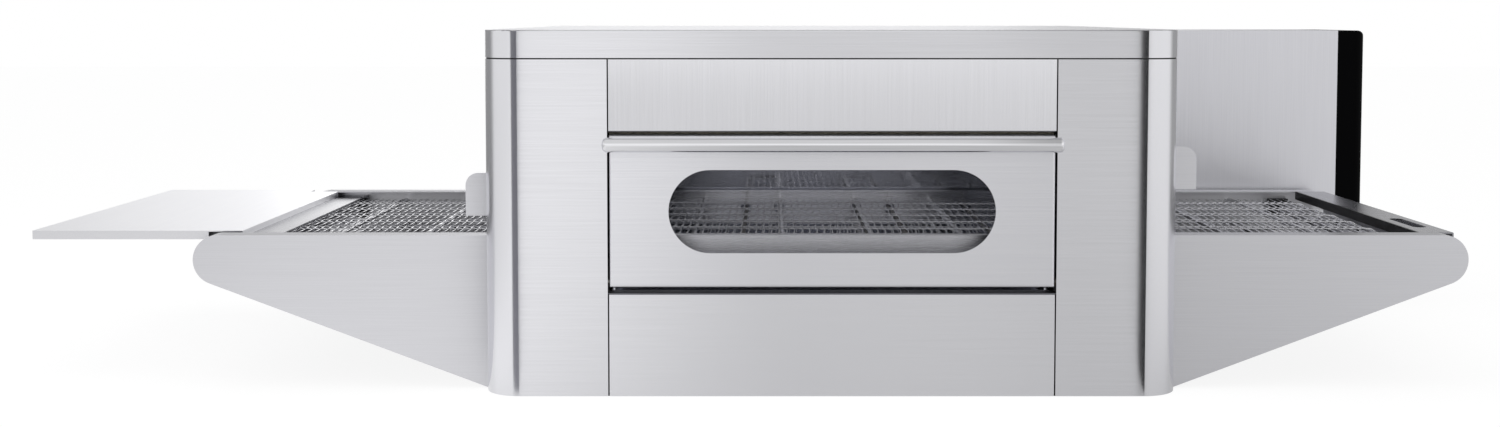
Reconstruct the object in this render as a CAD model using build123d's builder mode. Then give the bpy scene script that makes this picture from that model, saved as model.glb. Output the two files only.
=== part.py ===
"""Electric conveyor oven: a tunnel chamber with a wire belt that runs through it.

Millimetres. The origin is the centre of the casing's underside, +X runs along the belt
towards its exit, the door faces -Y and +Z is up.
"""

import os
from math import asin, atan2, cos, hypot, pi, sin, sqrt

from build123d import *

os.makedirs("parts", exist_ok=True)

# Casing: stainless sheet over a square-bar frame
casing_w = 984
casing_h = 515
sheet = 1.5
corner_r = 52
rear_r = 8
cap_h = 39
cap_lip = 20
cap_edge_r = 2
seam = 2
centre_w = 629
frame_bar = 25
base_t = 2
rear_return = 30
fascia_return = 12
stand_inset_x = 112
stand_inset_y = 120
stand_r = 5.5

# Clearances: one for seated parts, one radial for shafts that turn, one radial for pins in holes
fit = 0.3
running = 0.05
hole_gap = 0.1
overrun = 5

# Heights of the openings, below ("under") and above ("over") the belt's top face
belt_under_middle = 48.5
lower_fascia_under = 65
door_under = 55
door_over = 159
upper_fascia_over = 165
window_over = 52
opening_under = 19
opening_over = 117
chamber_under = 109
chamber_over = 121
mouth_under = 59
mouth_over = 76
shutter_over = 40

# Front: door, vent strip and sill
door_side_gap = 2
door_t = 32
door_edge_r = 4
vent_recess = 12
vent_strip_h = 5
vent_slot_l = 12
vent_slot_h = 2
vent_places_share = [-0.46, -0.42, -0.30, -0.22, 0.07, 0.38, 0.56, 0.60, 0.93]
sill_t = 1.5
sill_d = 30

# Door window, glass and seal
window_w = 458
window_h = 117
pane_w = 500
pane_h = 142
pane_t = 4
pane_r = 12
inner_window_w = 486
inner_window_h = 128
seal_w = 590
seal_h = 158
seal_band = 10
seal_r = 20

# Door handle
handle_r = 10.25
handle_wall = 1.5
handle_drop = 11
handle_reach = 30
handle_dome = 6.5
handle_collar = 9
collar_lip = 0.4
post_r = 7
post_x = 290

# Door hinge
hinge_y = 12
hinge_rise = 7
pin_r = 4
pin_in = 14
pin_out = 14
pin_block = 14
bush_wall = 2

# Cooking chamber
liner_t = 1.5
chamber_front = 44
chamber_rear_gap = 10.5
opening_w = 566
insulation_t = 50
insulation_side = 8

# Heating elements: hairpins of steel tube
element_r = 4
element_pitch = 60
hairpins = 4
hairpin_pitch = 198
upper_element_over = 105
lower_element_under = 20
element_nose = 50
element_tail = 36
element_bush_r = 9
element_bush_l = 14
bush_collar = 3

# Tunnel mouths and their shutters
mouth_side = 3
shutter_h = 61.5
shutter_out = 30
shutter_r = 18
shutter_travel = 38
slot_w = 8
slot_side = 60
stud_r = 3
nut_r = 7
nut_h = 8
nut_round = 3

# Conveyor side plates
plate_t = 2
plate_depth = 50
belt_side = 39
plate_over = 12
wing_len = 422
nose_r = 36
wing_root_z = 1
top_flange = 30
root_flange = 22
rail_h = 62
ledge_w = 15
ledge_under = 83
ledge_len = 279

# Wire belt, its shafts and its supports
belt_t = 2
belt_w = 516
works_d = 236
belt_edge = 5
strand_pitch = 11.5
strand_w = 2
shaft_inset = 86
shaft_r = 8
wheel_r = 18
wheel_w = 12
wheel_inset = 33
wheels = 6
tooth_r = 2
teeth = 12
bearing_side = 34
bearing_t = 12
support_r = 4
support_inset = 85.5
supports = 12

# End covers and the black bar beside the belt's exit
cover_drop = 46
entry_cover_in = 104
entry_cover_over = 1.5
exit_bar_t = 3
exit_bar_h = 14
exit_bar_gap = 4
slot_len = 104
slot_wide = 20
slot_from_plate = 84
nose_inset = 9

# Entry shelf, which hooks over the entry cover
shelf_out = 673
shelf_in = 365
shelf_near = 47
shelf_far = 2
shelf_h = 12.5
shelf_t = 1.5
shelf_skirt_gap = 2
shelf_corner_r = 2

# Crumb trays under the conveyor ends
tray_h = 16
tray_t = 1
tray_len = 289
tray_root_gap = 8
tray_side_gap = 2
tray_pull = 14

# Control box behind the exit conveyor
box_gap = 16
box_len = 448
box_drop = 7
box_bottom = 60
bezel_t = 31
face_t = 20
face_r = 16
face_groove = 1.5
glass_t = 1
glass_y = 110
glass_h = 170
glass_drop = 118
glass_inset = 0.5
box_hole_gap = 6

# Buttons on the control face
button_r = 11
button_out = 4
button_travel = 3
button_drop = 155
button_cup = 12
stop_r = 19
stop_h = 11
stop_gap = 8
stop_stem_r = 8
stop_travel = 5
stop_drop = 70
stop_edge_r = 4

# Gear motor, sprockets and chain in the control box
chain_span = 156.3
sprocket_y = 12
sprocket_t = 5
sprocket_r = 26
sprocket_teeth = 16
sprocket_tooth = 2.5
chain_t = 5
chain_w = 4
bracket_w = 120
bracket_t = 3
bracket_gap = 6
bracket_drop = 55
bracket_foot = 40
gearbox_w = 84
gearbox_h = 84
gearbox_l = 52
gearbox_r = 6
motor_r = 34
motor_l = 82
output_r = 7

# Contactors, control board and cooling fan in the control box
board_x = 60
board_z = 110
contactor = (45, 50, 76)
contactor_gap = 12
contactor_count = 3
circuit = (150, 2, 90)
circuit_stand = 10
circuit_rise = 150
fan_w = 119
fan_t = 25
fan_inset = 109
fan_drop = 108
fan_bore_r = 55
fan_tip_gap = 2
fan_hub_r = 19
fan_pin_r = 3
fan_arm = 8
fan_arm_t = 4
fan_blades = 7
blade_t = 1.5
blade_tilt = 38
vent_r = 4
vent_rings = 4
vent_ring_pitch = 12
vents_in_first_ring = 6
gland_r = 16
gland_l = 22
gland_bore_r = 9
gland_x = 109
gland_rise = 40
gland_nut_h = 7

# Screws and vents on the rear
screw_r = 5
screw_h = 2.5
screw_shank_r = 2
louvre_l = 70
louvre_h = 6
louvre_pitch_x = 110
louvre_pitch_z = 18
louvre_cols = 7
louvre_rows = 5
louvre_z = 250

# Places worked out from the sizes above
side = casing_w / 2
conveyor_w = belt_w + 2 * belt_side
casing_d = plate_depth + conveyor_w + works_d
front = -casing_d / 2
back = casing_d / 2
cap_z = casing_h - cap_h
panel_top = cap_z - seam
centre_half = centre_w / 2
door_half = centre_half - door_side_gap
near_y = front + plate_depth
far_y = near_y + conveyor_w
belt_y = (near_y + far_y) / 2
near_in = near_y + plate_t
far_in = far_y - plate_t
chamber_y0 = front + chamber_front + liner_t
chamber_y1 = far_y + chamber_rear_gap
frame_in = sheet + fit
chamber_side = sqrt((corner_r - frame_in)**2 - max(corner_r - chamber_front, 0)**2)
chamber_half = side - corner_r + chamber_side
wing_end = side + wing_len
shaft_x = wing_end - shaft_inset
belt_r = wheel_r + fit
box_top = casing_h - box_drop

# Heights worked out from the belt's
belt_top = casing_h / 2 - belt_under_middle
shaft_z = belt_top - belt_t - belt_r
plate_top = belt_top + plate_over
ledge_z = belt_top - ledge_under
entry_cover_z = belt_top + entry_cover_over
lower_fascia_z = belt_top - lower_fascia_under
door_z0 = belt_top - door_under
door_z1 = belt_top + door_over
upper_fascia_z = belt_top + upper_fascia_over
window_z = belt_top + window_over
handle_z = door_z1 - handle_drop
opening_z0 = belt_top - opening_under
opening_z1 = belt_top + opening_over
chamber_z0 = belt_top - chamber_under
chamber_z1 = belt_top + chamber_over
lower_element_z = belt_top - lower_element_under
upper_element_z = belt_top + upper_element_over
mouth_z0 = belt_top - mouth_under
mouth_z1 = belt_top + mouth_over
shutter_low = belt_top + shutter_over
motor_z = shaft_z + chain_span

# Planes of symmetry
mirror_x = Plane.YZ
mirror_belt = Plane(origin=(0, belt_y, 0), z_dir=(0, 1, 0))


def block(x, y, z, mode=Mode.ADD):
    """A box from three (low, high) pairs."""
    with Locations((sum(x) / 2, sum(y) / 2, sum(z) / 2)):
        Box(x[1] - x[0], y[1] - y[0], z[1] - z[0], mode=mode)


def rod(start, direction, length, radius, mode=Mode.ADD):
    """A round bar, or a round hole, from a start point along a direction."""
    with Locations(Plane(origin=start, z_dir=direction)):
        Cylinder(radius, length, align=(Align.CENTER, Align.CENTER, Align.MIN), mode=mode)


def save(builder, label):
    """Name a finished part and write it to its own file."""
    builder.part.label = label
    export_step(builder.part, f"parts/{label}.step")


def casing_plan(inset):
    """Plan of the casing drawn in by an inset: large front corners and small rear ones."""
    with BuildSketch() as plan:
        Rectangle(casing_w - 2 * inset, casing_d - 2 * inset)
        fillet(plan.vertices().group_by(Axis.Y)[0], corner_r - inset)
        if rear_r > inset:
            fillet(plan.vertices().group_by(Axis.Y)[-1], rear_r - inset)
    return plan.sketch


# Base pan, with four holes for a stand
with BuildPart() as base_pan:
    with BuildSketch():
        add(casing_plan(sheet + fit))
        with GridLocations(casing_w - 2 * stand_inset_x, casing_d - 2 * stand_inset_y, 2, 2):
            Circle(stand_r, mode=Mode.SUBTRACT)
    extrude(amount=base_t)
save(base_pan, "base_pan")

# Frame: a ring of square bar under the cap, corner posts and two door jambs
post_inset = (corner_r - frame_in) * (1 - cos(pi / 4)) + fit
post_x0 = side - frame_in - post_inset - frame_bar / 2
post_y0 = back - frame_in - post_inset - frame_bar / 2
jamb_x = centre_half + frame_bar / 2
jamb_y = front + frame_in + frame_bar / 2
hinge_axis_y = front + hinge_y
hinge_axis_z = door_z0 + hinge_rise
bush_r = pin_r + bush_wall
with BuildPart() as frame:
    with BuildSketch(Plane.XY.offset(cap_z - frame_bar)):
        add(casing_plan(frame_in))
        add(casing_plan(frame_in + frame_bar), mode=Mode.SUBTRACT)
    extrude(amount=frame_bar)
    with BuildSketch(Plane.XY.offset(base_t)):
        with GridLocations(2 * post_x0, 2 * post_y0, 2, 2):
            Rectangle(frame_bar, frame_bar)
        with Locations((-jamb_x, jamb_y), (jamb_x, jamb_y)):
            Rectangle(frame_bar, frame_bar)
    extrude(amount=cap_z - frame_bar - base_t)
    for sign in (-1, 1):
        rod((sign * centre_half, hinge_axis_y, hinge_axis_z), (sign, 0, 0), frame_bar,
            bush_r + hole_gap, Mode.SUBTRACT)
save(frame, "frame")

# Top cap: a pan with an inward lip that rests on the frame
with BuildPart() as top_cap:
    with BuildSketch(Plane.XY.offset(cap_z)):
        add(casing_plan(0))
    extrude(amount=cap_h)
    fillet(top_cap.faces().sort_by(Axis.Z)[-1].edges(), cap_edge_r)
    with BuildSketch(Plane.XY.offset(cap_z + sheet)):
        add(casing_plan(sheet))
    extrude(amount=cap_h - 2 * sheet, mode=Mode.SUBTRACT)
    with BuildSketch(Plane.XY.offset(cap_z)):
        add(casing_plan(sheet + cap_lip))
    extrude(amount=sheet, mode=Mode.SUBTRACT)
save(top_cap, "top_cap")

# Side panels: one sheet from the front seam round the corner to the rear, with the tunnel mouth
mouth_y = (near_y - mouth_side, far_y + mouth_side)
stud_z = shutter_low + shutter_h - (shutter_h - shutter_travel - slot_w) / 2 - slot_w / 2
stud_ys = (near_y + slot_side, far_y - slot_side)
with BuildPart() as left_side_panel:
    with BuildSketch():
        add(casing_plan(0))
        add(casing_plan(sheet), mode=Mode.SUBTRACT)
    extrude(amount=panel_top)
    block((-centre_half, side + overrun), (front - overrun, 0), (-overrun, cap_z), Mode.SUBTRACT)
    block((-side + rear_return, side + overrun), (-overrun, back + overrun), (-overrun, cap_z),
          Mode.SUBTRACT)
    block((-side - overrun, -side + overrun), mouth_y, (mouth_z0, mouth_z1), Mode.SUBTRACT)
save(left_side_panel, "left_side_panel")

with BuildPart() as right_side_panel:
    mirror(left_side_panel.part, about=mirror_x)
save(right_side_panel, "right_side_panel")

# Back panel, louvred, screwed to the frame between the side panels' returns
screw_places = [(sign_x * (side - rear_return - frame_bar), z) for sign_x in (-1, 1)
                for z in (cap_z - frame_bar / 2, panel_top / 2, frame_bar)]
rear_half = side - rear_return - fit
with BuildPart() as back_panel:
    block((-rear_half, rear_half), (back - sheet, back), (0, panel_top))
    with BuildSketch(Plane.XZ.offset(-back - overrun)):
        with Locations((0, louvre_z)):
            with GridLocations(louvre_pitch_x, louvre_pitch_z, louvre_cols, louvre_rows):
                SlotOverall(louvre_l, louvre_h)
        with Locations(*screw_places):
            Circle(screw_shank_r + hole_gap)
    extrude(amount=sheet + 2 * overrun, mode=Mode.SUBTRACT)
save(back_panel, "back_panel")

with BuildPart() as panel_screws:
    for screw_x, screw_z in screw_places:
        rod((screw_x, back - sheet, screw_z), (0, 1, 0), sheet, screw_shank_r)
        rod((screw_x, back, screw_z), (0, 1, 0), screw_h, screw_r)
    fillet(panel_screws.faces().group_by(Axis.Y)[-1].edges(), screw_h / 2)
save(panel_screws, "panel_screws")

# Front fascias above and below the door, the recessed vent strip and the sill
fascia_x = (-centre_half + seam, centre_half - seam)
with BuildPart() as upper_fascia:
    block(fascia_x, (front, front + sheet), (upper_fascia_z, panel_top))
    block(fascia_x, (front, front + fascia_return), (upper_fascia_z, upper_fascia_z + sheet))
    fillet(upper_fascia.edges().filter_by(Axis.X).group_by(Axis.Z)[0].sort_by(Axis.Y)[0], sheet / 2)
save(upper_fascia, "upper_fascia")

with BuildPart() as lower_fascia:
    block(fascia_x, (front, front + sheet), (0, lower_fascia_z))
    block(fascia_x, (front, front + fascia_return), (lower_fascia_z - sheet, lower_fascia_z))
    fillet(lower_fascia.edges().filter_by(Axis.X).group_by(Axis.Z)[-1].sort_by(Axis.Y)[0], sheet / 2)
save(lower_fascia, "lower_fascia")

strip_half = centre_half - fit
strip_z0 = upper_fascia_z + sheet / 2 - vent_strip_h / 2
with BuildPart() as vent_strip:
    block((-strip_half, strip_half), (front + vent_recess + fit, front + vent_recess + fit + sheet),
          (strip_z0, strip_z0 + vent_strip_h))
    with BuildSketch(Plane.XZ.offset(-front)):
        with Locations(*[(share * strip_half, strip_z0 + vent_strip_h / 2)
                         for share in vent_places_share]):
            SlotOverall(vent_slot_l, vent_slot_h)
    extrude(amount=-vent_recess - overrun, mode=Mode.SUBTRACT)
save(vent_strip, "vent_strip")

with BuildPart() as door_sill:
    block((-strip_half, strip_half), (front + 2 * sheet, front + sill_d),
          (lower_fascia_z, lower_fascia_z + sill_t))
save(door_sill, "door_sill")

# Door: an outer pan, an inner plate, two panes and a seal
door_back = front + door_t
with BuildPart() as door_hollow:
    block((-door_half + sheet, door_half - sheet), (front + sheet, door_back + overrun),
          (door_z0 + sheet, door_z1 - sheet))
    fillet(door_hollow.faces().sort_by(Axis.Y)[0].edges(), door_edge_r - sheet)

with BuildPart() as door_skin:
    block((-door_half, door_half), (front, door_back), (door_z0, door_z1))
    fillet(door_skin.faces().sort_by(Axis.Y)[0].edges(), door_edge_r)
    add(door_hollow.part, mode=Mode.SUBTRACT)
    with BuildSketch(Plane.XZ.offset(-front + overrun)):
        with Locations((0, window_z)):
            SlotOverall(window_w, window_h)
    extrude(amount=-2 * overrun, mode=Mode.SUBTRACT)
    for sign in (-1, 1):
        rod((sign * (door_half - overrun), hinge_axis_y, hinge_axis_z), (sign, 0, 0), 2 * overrun,
            pin_r + hole_gap, Mode.SUBTRACT)
save(door_skin, "door_skin")

inner_half = door_half - sheet - fit
with BuildPart() as door_inner:
    block((-inner_half, inner_half), (door_back - sheet, door_back),
          (door_z0 + sheet + fit, door_z1 - sheet - fit))
    with BuildSketch(Plane.XZ.offset(-door_back + overrun)):
        with Locations((0, window_z)):
            SlotOverall(inner_window_w, inner_window_h)
    extrude(amount=-2 * overrun, mode=Mode.SUBTRACT)
save(door_inner, "door_inner")

pane_ys = (front + sheet, door_back - sheet - pane_t)
with BuildPart() as window_panes:
    for pane_y in pane_ys:
        with BuildSketch(Plane.XZ.offset(-pane_y)):
            with Locations((0, window_z)):
                RectangleRounded(pane_w, pane_h, pane_r)
        extrude(amount=-pane_t)
save(window_panes, "window_panes")

with BuildPart() as door_seal:
    with BuildSketch(Plane.XZ.offset(-door_back)):
        with Locations((0, (opening_z0 + opening_z1) / 2)):
            RectangleRounded(seal_w, seal_h, seal_r)
            RectangleRounded(seal_w - 2 * seal_band, seal_h - 2 * seal_band, seal_r - seal_band,
                             mode=Mode.SUBTRACT)
    extrude(amount=-(chamber_front - door_t - fit))
save(door_seal, "door_seal")

# Door handle: a tube on two posts, with domed ends
handle_y = front - handle_reach
tube_half = door_half - handle_collar
with BuildPart() as handle_tube:
    rod((-tube_half, handle_y, handle_z), (1, 0, 0), 2 * tube_half, handle_r)
    rod((-tube_half, handle_y, handle_z), (1, 0, 0), 2 * tube_half, handle_r - handle_wall,
        Mode.SUBTRACT)
save(handle_tube, "handle_tube")

end_r = handle_r + collar_lip
with BuildPart() as handle_ends:
    with BuildSketch():
        with BuildLine():
            dome_base = Line((tube_half, 0), (tube_half, end_r))
            collar = Line(dome_base @ 1, (door_half, end_r))
            dome = EllipticalCenterArc((door_half, 0), handle_dome, end_r, start_angle=0, arc_size=90)
            Line((door_half + handle_dome, 0), (tube_half, 0))
        make_face()
    revolve(axis=Axis.X)
    mirror(about=Plane.YZ)
handle_ends.part = Pos(0, handle_y, handle_z) * handle_ends.part
save(handle_ends, "handle_ends")

with BuildPart() as handle_posts:
    for sign in (-1, 1):
        rod((sign * post_x, front, handle_z), (0, -1, 0), handle_reach, post_r)
    rod((-door_half, handle_y, handle_z), (1, 0, 0), 2 * door_half, handle_r + running, Mode.SUBTRACT)
save(handle_posts, "handle_posts")

# Door hinge: a pin on a block inside each lower corner, and a bush in each jamb
with BuildPart() as hinge_pins:
    for sign in (-1, 1):
        pin_x = sign * (door_half - sheet)
        rod((pin_x, hinge_axis_y, hinge_axis_z), (sign, 0, 0), sheet + pin_out, pin_r)
        block(sorted((pin_x, pin_x - sign * pin_in)),
              (front + door_edge_r, hinge_axis_y + pin_block),
              (door_z0 + sheet, door_z0 + sheet + pin_block))
save(hinge_pins, "hinge_pins")

with BuildPart() as hinge_bushes:
    for sign in (-1, 1):
        bush_start = (sign * centre_half, hinge_axis_y, hinge_axis_z)
        rod(bush_start, (sign, 0, 0), frame_bar, bush_r)
        rod(bush_start, (sign, 0, 0), frame_bar, pin_r + running, Mode.SUBTRACT)
save(hinge_bushes, "hinge_bushes")

# Chamber liner: a rectangular tube from mouth to mouth, open at the door
element_xs = [(i - (hairpins - 1) / 2) * hairpin_pitch for i in range(hairpins)]
leg_xs = [x + sign * element_pitch / 2 for x in element_xs for sign in (-1, 1)]
leg_places = [(x, z) for x in leg_xs for z in (lower_element_z, upper_element_z)]
liner_y = (chamber_y0 - liner_t, chamber_y1 + liner_t)
liner_z = (chamber_z0 - liner_t, chamber_z1 + liner_t)


def leg_holes(radius, y_range):
    """Holes along Y for every leg of the heating elements."""
    for leg_x, leg_z in leg_places:
        rod((leg_x, y_range[0], leg_z), (0, 1, 0), y_range[1] - y_range[0], radius, Mode.SUBTRACT)


with BuildPart() as chamber_liner:
    block((-chamber_half, chamber_half), liner_y, liner_z)
    block((-side, side), (chamber_y0, chamber_y1), (chamber_z0, chamber_z1), Mode.SUBTRACT)
    block((-opening_w / 2, opening_w / 2), (chamber_y0 - overrun, chamber_y0 + overrun),
          (opening_z0, opening_z1), Mode.SUBTRACT)
    leg_holes(element_r + hole_gap, (chamber_y1 - overrun, chamber_y1 + overrun))
save(chamber_liner, "chamber_liner")

# Insulation: slabs over, under and behind the liner
slab_half = chamber_half - insulation_side
slab_y = (liner_y[1] + fit, liner_y[1] + fit + insulation_t)
with BuildPart() as insulation:
    block((-slab_half, slab_half), liner_y, (liner_z[1] + fit, liner_z[1] + fit + insulation_t))
    block((-slab_half, slab_half), liner_y, (liner_z[0] - fit - insulation_t, liner_z[0] - fit))
    block((-slab_half, slab_half), slab_y, liner_z)
    leg_holes(element_bush_r + hole_gap, (slab_y[0] - fit, slab_y[1] + overrun))
save(insulation, "insulation")

# Heating elements: hairpins that enter through the rear wall
leg_end_y = slab_y[1] + element_tail
leg_nose_y = chamber_y0 + element_nose
bend_r = element_pitch / 2
with BuildPart() as heating_elements:
    for height in (lower_element_z, upper_element_z):
        for centre_x in element_xs:
            with BuildLine():
                inlet = Line((centre_x - bend_r, leg_end_y, height),
                             (centre_x - bend_r, leg_nose_y + bend_r, height))
                bend = ThreePointArc(inlet @ 1, (centre_x, leg_nose_y, height),
                                     (centre_x + bend_r, leg_nose_y + bend_r, height))
                Line(bend @ 1, (centre_x + bend_r, leg_end_y, height))
            with BuildSketch(Plane(origin=inlet @ 0, z_dir=inlet % 0)):
                Circle(element_r)
            sweep()
save(heating_elements, "heating_elements")

with BuildPart() as element_bushes:
    for leg_x, leg_z in leg_places:
        rod((leg_x, slab_y[1] - element_bush_l, leg_z), (0, 1, 0), element_bush_l, element_bush_r)
        rod((leg_x, slab_y[1], leg_z), (0, 1, 0), element_bush_l, element_bush_r - bush_collar)
        rod((leg_x, slab_y[1] - 2 * element_bush_l, leg_z), (0, 1, 0), 4 * element_bush_l,
            element_r + hole_gap, Mode.SUBTRACT)
save(element_bushes, "element_bushes")

# Conveyor rails inside the chamber, with holes for the lower elements in the far one
rail_half = side + fit
rail_z = (plate_top - rail_h, plate_top)
with BuildPart() as chamber_rails:
    block((-rail_half, rail_half), (near_y, near_in), rail_z)
    block((-rail_half, rail_half), (near_y, near_y + ledge_w), (plate_top - plate_t, plate_top))
    mirror(about=mirror_belt)
    leg_holes(element_r + box_hole_gap, (far_in - overrun, far_y + overrun))
save(chamber_rails, "chamber_rails")


def tangent_point(start, centre, radius):
    """Where a line from start, going left below a circle, touches it."""
    run, rise = centre[0] - start[0], centre[1] - start[1]
    reach = hypot(run, rise)
    angle = atan2(rise, run) + asin(radius / reach)
    length = (reach**2 - radius**2) ** 0.5
    return start[0] + length * cos(angle), start[1] + length * sin(angle)


# Conveyor side plates outside the casing: tapered, with a round nose and an inward flange
tip = (-(wing_end - nose_r), plate_top - nose_r)
root_low = (-rail_half, wing_root_z)
root_high = (-rail_half, plate_top)
nose_low = tangent_point(root_low, tip, nose_r)


def wing_outline(inset):
    """The plate's side view, drawn in by an inset at its top and nose."""
    with BuildSketch() as view:
        with Locations(tip):
            Circle(nose_r - inset)
        Polygon((tip[0], plate_top - inset), (root_high[0], plate_top - inset), root_low, nose_low,
                tip, align=None)
    return view.sketch


with BuildPart() as left_near_wing:
    with BuildSketch(Plane.XZ.offset(-near_y)):
        add(wing_outline(0))
    extrude(amount=-plate_t)
    with BuildSketch(Plane.XZ.offset(-near_in)):
        add(wing_outline(0))
        add(wing_outline(plate_t), mode=Mode.SUBTRACT)
        with Locations(tip):
            Rectangle(2 * wing_len, plate_top, align=(Align.CENTER, Align.MAX), mode=Mode.SUBTRACT)
    extrude(amount=-(top_flange - plate_t))
    block((-rail_half - plate_t, -rail_half), (near_in, near_in + root_flange),
          (wing_root_z + plate_t, mouth_z0 - plate_t))
    block((-rail_half - ledge_len, -rail_half - root_flange), (near_in, near_in + ledge_w),
          (ledge_z - plate_t, ledge_z))
save(left_near_wing, "left_near_wing")

with BuildPart() as left_far_wing:
    mirror(left_near_wing.part, about=mirror_belt)
save(left_far_wing, "left_far_wing")

with BuildPart() as right_near_wing:
    mirror(left_near_wing.part, about=mirror_x)
save(right_near_wing, "right_near_wing")

with BuildPart() as right_far_wing:
    mirror(left_far_wing.part, about=mirror_x)
    rod((shaft_x, far_in - overrun, shaft_z), (0, 1, 0), 2 * overrun + plate_t, shaft_r + hole_gap,
        Mode.SUBTRACT)
save(right_far_wing, "right_far_wing")

# Wire belt: a closed loop with a gap between each pair of cross strands on both runs
run_len = 2 * shaft_x
strands = int(run_len / strand_pitch)
with BuildPart() as conveyor_belt:
    with BuildSketch(Plane.XZ.offset(-(belt_y - belt_w / 2))):
        with Locations((0, shaft_z)):
            SlotCenterToCenter(run_len, 2 * (belt_r + belt_t))
            SlotCenterToCenter(run_len, 2 * belt_r, mode=Mode.SUBTRACT)
    extrude(amount=-belt_w)
    with BuildSketch(Plane.XY.offset(shaft_z - belt_r - belt_t)):
        with Locations((0, belt_y)):
            with GridLocations(run_len / strands, 0, strands, 1):
                Rectangle(run_len / strands - strand_w, belt_w - 2 * belt_edge)
    extrude(amount=2 * (belt_r + belt_t), mode=Mode.SUBTRACT)
save(conveyor_belt, "conveyor_belt")

# Shafts at the belt's two ends, with toothed wheels under the belt
wheel_pitch = (belt_w - 2 * wheel_inset) / (wheels - 1)
wheel_ys = [belt_y + (i - (wheels - 1) / 2) * wheel_pitch for i in range(wheels)]
bearing_ys = (near_in + bearing_t, far_in - bearing_t)
box_y = (far_y + box_gap, back)
driven_y = box_y[0] + sprocket_y


def belt_wheels(centre_x):
    """Toothed wheels on one shaft; the teeth stop just under the belt."""
    with BuildPart() as group:
        for wheel_y in wheel_ys:
            with BuildSketch(Plane.XZ.offset(-(wheel_y - wheel_w / 2))):
                with Locations((centre_x, shaft_z)):
                    Circle(wheel_r - tooth_r)
                    with PolarLocations(wheel_r - tooth_r, teeth):
                        Rectangle(2 * tooth_r - fit, 2 * tooth_r)
                    Circle(shaft_r + hole_gap, mode=Mode.SUBTRACT)
            extrude(amount=-wheel_w)
    return group


with BuildPart() as idler_shaft:
    rod((-shaft_x, near_in + fit, shaft_z), (0, 1, 0), far_in - near_in - 2 * fit, shaft_r)
save(idler_shaft, "idler_shaft")
idler_wheels = belt_wheels(-shaft_x)
save(idler_wheels, "idler_wheels")


def sprocket(centre_z):
    """A toothed disc about a Y axis, in the plane of the chain."""
    with BuildSketch(Plane.XZ.offset(-driven_y)) as disc:
        with Locations((shaft_x, centre_z)):
            Circle(sprocket_r - sprocket_tooth)
            with PolarLocations(sprocket_r - sprocket_tooth, sprocket_teeth):
                Rectangle(2 * sprocket_tooth - fit, sprocket_tooth)
    return extrude(disc.sketch, amount=-sprocket_t)


with BuildPart() as drive_shaft:
    rod((shaft_x, near_in + fit, shaft_z), (0, 1, 0),
        driven_y + sprocket_t - near_in - fit, shaft_r)
    add(sprocket(shaft_z))
save(drive_shaft, "drive_shaft")
drive_wheels = belt_wheels(shaft_x)
save(drive_wheels, "drive_wheels")

# Bearing blocks on the inner faces of the side plates
with BuildPart() as shaft_bearings:
    for centre_x in (-shaft_x, shaft_x):
        for wall_y, inward in ((near_in, 1), (far_in, -1)):
            block((centre_x - bearing_side / 2, centre_x + bearing_side / 2),
                  sorted((wall_y, wall_y + inward * bearing_t)),
                  (shaft_z - bearing_side / 2, shaft_z + bearing_side / 2))
            rod((centre_x, wall_y, shaft_z), (0, inward, 0), bearing_t, shaft_r + running,
                Mode.SUBTRACT)
save(shaft_bearings, "shaft_bearings")

# Support rods between the side plates, under both runs of the belt
support_zs = (belt_top - belt_t - fit - support_r, shaft_z - belt_r - belt_t - fit - support_r)
support_pitch = 2 * (shaft_x - support_inset) / (supports - 1)
with BuildPart() as belt_supports:
    for i in range(supports):
        for rod_z in support_zs:
            rod(((i - (supports - 1) / 2) * support_pitch, near_in, rod_z), (0, 1, 0),
                far_in - near_in, support_r)
save(belt_supports, "belt_supports")

# Entry cover: a folded sheet over the belt's end, below the plates' flanges, narrower at the nose
nose_x = wing_end - nose_inset
flange_y = (near_y + top_flange + fit, far_y - top_flange - fit)
entry_top = entry_cover_z + plate_t
with BuildPart() as entry_cover:
    block((tip[0], -(wing_end - entry_cover_in)), (near_in + fit, far_in - fit),
          (entry_cover_z, entry_top))
    block((-nose_x, tip[0]), flange_y, (entry_cover_z, entry_top))
    block((-nose_x, -nose_x + plate_t), flange_y, (entry_top - cover_drop, entry_top))
save(entry_cover, "entry_cover")

# Exit cover, with a long hand slot, and the black bar that closes the gap beside the belt
bar_x0 = shaft_x + belt_r + belt_t + exit_bar_gap
exit_cover_x0 = bar_x0 + exit_bar_t
with BuildPart() as exit_cover:
    block((exit_cover_x0, nose_x), flange_y, (plate_top - plate_t, plate_top))
    block((nose_x - plate_t, nose_x), flange_y, (plate_top - cover_drop, plate_top))
    fillet(exit_cover.edges().filter_by(Axis.Y).group_by(Axis.Z)[-1].sort_by(Axis.X)[-1], plate_t)
    with BuildSketch(Plane.XY.offset(plate_top + overrun)):
        with Locations(((exit_cover_x0 + nose_x) / 2,
                        near_y + slot_from_plate + slot_len / 2)):
            SlotOverall(slot_len, slot_wide, rotation=90)
    extrude(amount=-2 * overrun, mode=Mode.SUBTRACT)
save(exit_cover, "exit_cover")

with BuildPart() as exit_bar:
    block((bar_x0, exit_cover_x0), flange_y, (plate_top - exit_bar_h, plate_top))
save(exit_bar, "exit_bar")

# Shutters: a slotted plate against each mouth, with a rounded ear bent out at both ends
shutter_x0 = side + fit


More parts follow.
